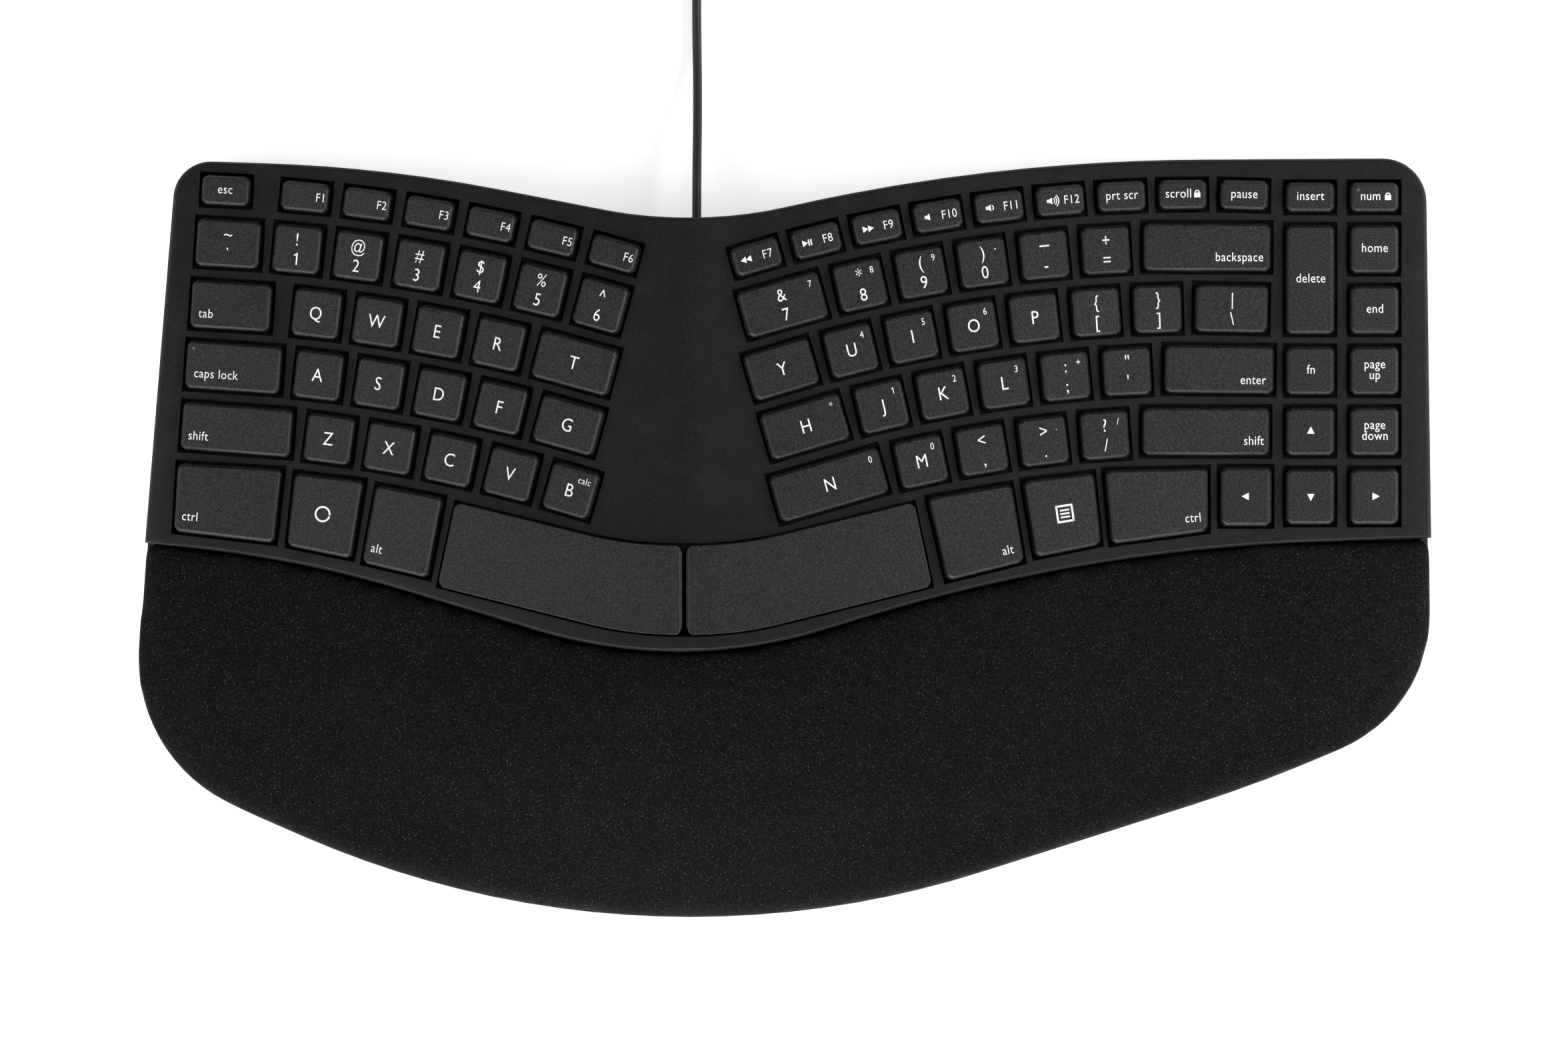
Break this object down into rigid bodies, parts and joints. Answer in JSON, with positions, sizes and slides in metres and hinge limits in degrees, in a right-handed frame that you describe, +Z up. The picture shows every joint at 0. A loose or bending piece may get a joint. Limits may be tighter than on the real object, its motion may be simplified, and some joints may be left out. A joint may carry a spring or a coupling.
{
  "type": "ergonomic keyboard",
  "caption": "Wired ergonomic split keyboard with a curved gull-wing key deck, padded palm rest and coiled cord.",
  "frame": {"origin": "centre of the keyboard's outline, on the plane its rubber feet stand on", "axes": "+X to the user's right along the long side, +Y to the back where the cord leaves, +Z up"},
  "size_m": [0.3975, 0.3522, 0.0449],
  "materials": {
    "cover_plastic": "fine matt moulding grain",
    "cap_plastic": "faint matt texture, bevelled edges",
    "bed_plastic": "plain matt",
    "dome_rubber": "translucent silicone look",
    "membrane_film": "printed film",
    "plate_steel": "plain sheet",
    "tray_plastic": "fine matt moulding grain",
    "foot_rubber": "matt",
    "screw_steel": "dark zinc",
    "board_laminate": "satin green lacquer",
    "palm_leather": "fine-grained soft leather look",
    "base_plastic": "plain matt",
    "cord_sleeve": "satin sleeve",
    "tie_wire": "plain",
    "grip_plastic": "satin",
    "plug_steel": "nickel plated"
  },
  "bodies": {
    "case": {"top_cover": "cover_plastic", "key_bed": "bed_plastic", "rubber_domes": "dome_rubber", "membrane_sheets": "membrane_film", "backing_plate": "plate_steel", "bottom_cover": "tray_plastic", "rubber_feet": "foot_rubber", "case_screws": "screw_steel", "controller_board": "board_laminate", "palm_rest_pad": "palm_leather", "palm_rest_base": "base_plastic", "strain_relief": "cord_sleeve", "usb_cable": "cord_sleeve", "cable_coil": "cord_sleeve", "cable_tie": "tie_wire", "usb_plug_grip": "grip_plastic", "usb_plug_shell": "plug_steel"},
    "function_keys_left": {"function_keys_left": "cap_plastic"},
    "function_keys_right": {"function_keys_right": "cap_plastic"},
    "system_keys": {"system_keys": "cap_plastic"},
    "number_keys_left": {"number_keys_left": "cap_plastic"},
    "number_keys_right": {"number_keys_right": "cap_plastic"},
    "punctuation_keys": {"punctuation_keys": "cap_plastic"},
    "left_modifier_keys": {"left_modifier_keys": "cap_plastic"},
    "right_modifier_keys": {"right_modifier_keys": "cap_plastic"},
    "navigation_keys": {"navigation_keys": "cap_plastic"},
    "tab": {"tab": "cap_plastic"},
    "key_q": {"key_q": "cap_plastic"},
    "key_w": {"key_w": "cap_plastic"},
    "key_e": {"key_e": "cap_plastic"},
    "key_r": {"key_r": "cap_plastic"},
    "key_t": {"key_t": "cap_plastic"},
    "caps_lock": {"caps_lock": "cap_plastic"},
    "key_a": {"key_a": "cap_plastic"},
    "key_s": {"key_s": "cap_plastic"},
    "key_d": {"key_d": "cap_plastic"},
    "key_f": {"key_f": "cap_plastic"},
    "key_g": {"key_g": "cap_plastic"},
    "left_shift": {"left_shift": "cap_plastic"},
    "key_z": {"key_z": "cap_plastic"},
    "key_x": {"key_x": "cap_plastic"},
    "key_c": {"key_c": "cap_plastic"},
    "key_v": {"key_v": "cap_plastic"},
    "key_b": {"key_b": "cap_plastic"},
    "backspace": {"backspace": "cap_plastic"},
    "key_y": {"key_y": "cap_plastic"},
    "key_u": {"key_u": "cap_plastic"},
    "key_i": {"key_i": "cap_plastic"},
    "key_o": {"key_o": "cap_plastic"},
    "key_p": {"key_p": "cap_plastic"},
    "key_h": {"key_h": "cap_plastic"},
    "key_j": {"key_j": "cap_plastic"},
    "key_k": {"key_k": "cap_plastic"},
    "key_l": {"key_l": "cap_plastic"},
    "enter": {"enter": "cap_plastic"},
    "key_n": {"key_n": "cap_plastic"},
    "key_m": {"key_m": "cap_plastic"},
    "right_shift": {"right_shift": "cap_plastic"},
    "left_space": {"left_space": "cap_plastic"},
    "right_space": {"right_space": "cap_plastic"}
  },
  "joints": [
    {"name": "function_keys_left_press", "type": "slide", "parent": "case", "child": "function_keys_left", "axis": [0.1437, 0, -0.9896], "range_m": [0, 0.003], "stiffness_N_per_m": 1260, "springref_m": -0.002, "deforming": ["rubber_domes"]},
    {"name": "function_keys_right_press", "type": "slide", "parent": "case", "child": "function_keys_right", "axis": [-0.1392, 0, -0.9903], "range_m": [0, 0.003], "stiffness_N_per_m": 1080, "springref_m": -0.002, "deforming": ["rubber_domes"]},
    {"name": "system_keys_press", "type": "slide", "parent": "case", "child": "system_keys", "axis": [-0.0279, 0, -0.9996], "range_m": [0, 0.003], "stiffness_N_per_m": 900, "springref_m": -0.002, "deforming": ["rubber_domes"]},
    {"name": "number_keys_left_press", "type": "slide", "parent": "case", "child": "number_keys_left", "axis": [0.1437, 0, -0.9896], "range_m": [0, 0.003], "stiffness_N_per_m": 1260, "springref_m": -0.002, "deforming": ["rubber_domes"]},
    {"name": "number_keys_right_press", "type": "slide", "parent": "case", "child": "number_keys_right", "axis": [-0.1315, 0, -0.9913], "range_m": [0, 0.003], "stiffness_N_per_m": 1080, "springref_m": -0.002, "deforming": ["rubber_domes"]},
    {"name": "punctuation_keys_press", "type": "slide", "parent": "case", "child": "punctuation_keys", "axis": [-0.1103, 0, -0.9939], "range_m": [0, 0.003], "stiffness_N_per_m": 1440, "springref_m": -0.002, "deforming": ["rubber_domes"]},
    {"name": "left_modifier_keys_press", "type": "slide", "parent": "case", "child": "left_modifier_keys", "axis": [0.1151, 0, -0.9934], "range_m": [0, 0.003], "stiffness_N_per_m": 540, "springref_m": -0.002, "deforming": ["rubber_domes"]},
    {"name": "right_modifier_keys_press", "type": "slide", "parent": "case", "child": "right_modifier_keys", "axis": [-0.1238, 0, -0.9923], "range_m": [0, 0.003], "stiffness_N_per_m": 540, "springref_m": -0.002, "deforming": ["rubber_domes"]},
    {"name": "navigation_keys_press", "type": "slide", "parent": "case", "child": "navigation_keys", "axis": [0, 0, -1], "range_m": [0, 0.003], "stiffness_N_per_m": 1800, "springref_m": -0.002, "deforming": ["rubber_domes"]},
    {"name": "tab_press", "type": "slide", "parent": "case", "child": "tab", "axis": [0.0523, 0, -0.9986], "range_m": [0, 0.003], "stiffness_N_per_m": 180, "springref_m": -0.002, "deforming": ["rubber_domes"]},
    {"name": "key_q_press", "type": "slide", "parent": "case", "child": "key_q", "axis": [0.1276, 0, -0.9918], "range_m": [0, 0.003], "stiffness_N_per_m": 180, "springref_m": -0.002, "deforming": ["rubber_domes"]},
    {"name": "key_w_press", "type": "slide", "parent": "case", "child": "key_w", "axis": [0.165, 0, -0.9863], "range_m": [0, 0.003], "stiffness_N_per_m": 180, "springref_m": -0.002, "deforming": ["rubber_domes"]},
    {"name": "key_e_press", "type": "slide", "parent": "case", "child": "key_e", "axis": [0.165, 0, -0.9863], "range_m": [0, 0.003], "stiffness_N_per_m": 180, "springref_m": -0.002, "deforming": ["rubber_domes"]},
    {"name": "key_r_press", "type": "slide", "parent": "case", "child": "key_r", "axis": [0.165, 0, -0.9863], "range_m": [0, 0.003], "stiffness_N_per_m": 180, "springref_m": -0.002, "deforming": ["rubber_domes"]},
    {"name": "key_t_press", "type": "slide", "parent": "case", "child": "key_t", "axis": [0.165, 0, -0.9863], "range_m": [0, 0.003], "stiffness_N_per_m": 180, "springref_m": -0.002, "deforming": ["rubber_domes"]},
    {"name": "caps_lock_press", "type": "slide", "parent": "case", "child": "caps_lock", "axis": [0.09, 0, -0.9959], "range_m": [0, 0.003], "stiffness_N_per_m": 180, "springref_m": -0.002, "deforming": ["rubber_domes"]},
    {"name": "key_a_press", "type": "slide", "parent": "case", "child": "key_a", "axis": [0.1276, 0, -0.9918], "range_m": [0, 0.003], "stiffness_N_per_m": 180, "springref_m": -0.002, "deforming": ["rubber_domes"]},
    {"name": "key_s_press", "type": "slide", "parent": "case", "child": "key_s", "axis": [0.165, 0, -0.9863], "range_m": [0, 0.003], "stiffness_N_per_m": 180, "springref_m": -0.002, "deforming": ["rubber_domes"]},
    {"name": "key_d_press", "type": "slide", "parent": "case", "child": "key_d", "axis": [0.165, 0, -0.9863], "range_m": [0, 0.003], "stiffness_N_per_m": 180, "springref_m": -0.002, "deforming": ["rubber_domes"]},
    {"name": "key_f_press", "type": "slide", "parent": "case", "child": "key_f", "axis": [0.165, 0, -0.9863], "range_m": [0, 0.003], "stiffness_N_per_m": 180, "springref_m": -0.002, "deforming": ["rubber_domes"]},
    {"name": "key_g_press", "type": "slide", "parent": "case", "child": "key_g", "axis": [0.165, 0, -0.9863], "range_m": [0, 0.003], "stiffness_N_per_m": 180, "springref_m": -0.002, "deforming": ["rubber_domes"]},
    {"name": "left_shift_press", "type": "slide", "parent": "case", "child": "left_shift", "axis": [0.09, 0, -0.9959], "range_m": [0, 0.003], "stiffness_N_per_m": 180, "springref_m": -0.002, "deforming": ["rubber_domes"]},
    {"name": "key_z_press", "type": "slide", "parent": "case", "child": "key_z", "axis": [0.1276, 0, -0.9918], "range_m": [0, 0.003], "stiffness_N_per_m": 180, "springref_m": -0.002, "deforming": ["rubber_domes"]},
    {"name": "key_x_press", "type": "slide", "parent": "case", "child": "key_x", "axis": [0.165, 0, -0.9863], "range_m": [0, 0.003], "stiffness_N_per_m": 180, "springref_m": -0.002, "deforming": ["rubber_domes"]},
    {"name": "key_c_press", "type": "slide", "parent": "case", "child": "key_c", "axis": [0.165, 0, -0.9863], "range_m": [0, 0.003], "stiffness_N_per_m": 180, "springref_m": -0.002, "deforming": ["rubber_domes"]},
    {"name": "key_v_press", "type": "slide", "parent": "case", "child": "key_v", "axis": [0.165, 0, -0.9863], "range_m": [0, 0.003], "stiffness_N_per_m": 180, "springref_m": -0.002, "deforming": ["rubber_domes"]},
    {"name": "key_b_press", "type": "slide", "parent": "case", "child": "key_b", "axis": [0.165, 0, -0.9863], "range_m": [0, 0.003], "stiffness_N_per_m": 180, "springref_m": -0.002, "deforming": ["rubber_domes"]},
    {"name": "backspace_press", "type": "slide", "parent": "case", "child": "backspace", "axis": [-0.0465, 0, -0.9989], "range_m": [0, 0.003], "stiffness_N_per_m": 180, "springref_m": -0.002, "deforming": ["rubber_domes"]},
    {"name": "key_y_press", "type": "slide", "parent": "case", "child": "key_y", "axis": [-0.1392, 0, -0.9903], "range_m": [0, 0.003], "stiffness_N_per_m": 180, "springref_m": -0.002, "deforming": ["rubber_domes"]},
    {"name": "key_u_press", "type": "slide", "parent": "case", "child": "key_u", "axis": [-0.1392, 0, -0.9903], "range_m": [0, 0.003], "stiffness_N_per_m": 180, "springref_m": -0.002, "deforming": ["rubber_domes"]},
    {"name": "key_i_press", "type": "slide", "parent": "case", "child": "key_i", "axis": [-0.1392, 0, -0.9903], "range_m": [0, 0.003], "stiffness_N_per_m": 180, "springref_m": -0.002, "deforming": ["rubber_domes"]},
    {"name": "key_o_press", "type": "slide", "parent": "case", "child": "key_o", "axis": [-0.1392, 0, -0.9903], "range_m": [0, 0.003], "stiffness_N_per_m": 180, "springref_m": -0.002, "deforming": ["rubber_domes"]},
    {"name": "key_p_press", "type": "slide", "parent": "case", "child": "key_p", "axis": [-0.1392, 0, -0.9903], "range_m": [0, 0.003], "stiffness_N_per_m": 180, "springref_m": -0.002, "deforming": ["rubber_domes"]},
    {"name": "key_h_press", "type": "slide", "parent": "case", "child": "key_h", "axis": [-0.1392, 0, -0.9903], "range_m": [0, 0.003], "stiffness_N_per_m": 180, "springref_m": -0.002, "deforming": ["rubber_domes"]},
    {"name": "key_j_press", "type": "slide", "parent": "case", "child": "key_j", "axis": [-0.1392, 0, -0.9903], "range_m": [0, 0.003], "stiffness_N_per_m": 180, "springref_m": -0.002, "deforming": ["rubber_domes"]},
    {"name": "key_k_press", "type": "slide", "parent": "case", "child": "key_k", "axis": [-0.1392, 0, -0.9903], "range_m": [0, 0.003], "stiffness_N_per_m": 180, "springref_m": -0.002, "deforming": ["rubber_domes"]},
    {"name": "key_l_press", "type": "slide", "parent": "case", "child": "key_l", "axis": [-0.1392, 0, -0.9903], "range_m": [0, 0.003], "stiffness_N_per_m": 180, "springref_m": -0.002, "deforming": ["rubber_domes"]},
    {"name": "enter_press", "type": "slide", "parent": "case", "child": "enter", "axis": [-0.0465, 0, -0.9989], "range_m": [0, 0.003], "stiffness_N_per_m": 180, "springref_m": -0.002, "deforming": ["rubber_domes"]},
    {"name": "key_n_press", "type": "slide", "parent": "case", "child": "key_n", "axis": [-0.1392, 0, -0.9903], "range_m": [0, 0.003], "stiffness_N_per_m": 180, "springref_m": -0.002, "deforming": ["rubber_domes"]},
    {"name": "key_m_press", "type": "slide", "parent": "case", "child": "key_m", "axis": [-0.1392, 0, -0.9903], "range_m": [0, 0.003], "stiffness_N_per_m": 180, "springref_m": -0.002, "deforming": ["rubber_domes"]},
    {"name": "right_shift_press", "type": "slide", "parent": "case", "child": "right_shift", "axis": [-0.0465, 0, -0.9989], "range_m": [0, 0.003], "stiffness_N_per_m": 180, "springref_m": -0.002, "deforming": ["rubber_domes"]},
    {"name": "left_space_press", "type": "slide", "parent": "case", "child": "left_space", "axis": [0, 0, -1], "range_m": [0, 0.003], "stiffness_N_per_m": 180, "springref_m": -0.002, "deforming": ["rubber_domes"]},
    {"name": "right_space_press", "type": "slide", "parent": "case", "child": "right_space", "axis": [0, 0, -1], "range_m": [0, 0.003], "stiffness_N_per_m": 180, "springref_m": -0.002, "deforming": ["rubber_domes"]}
  ]
}
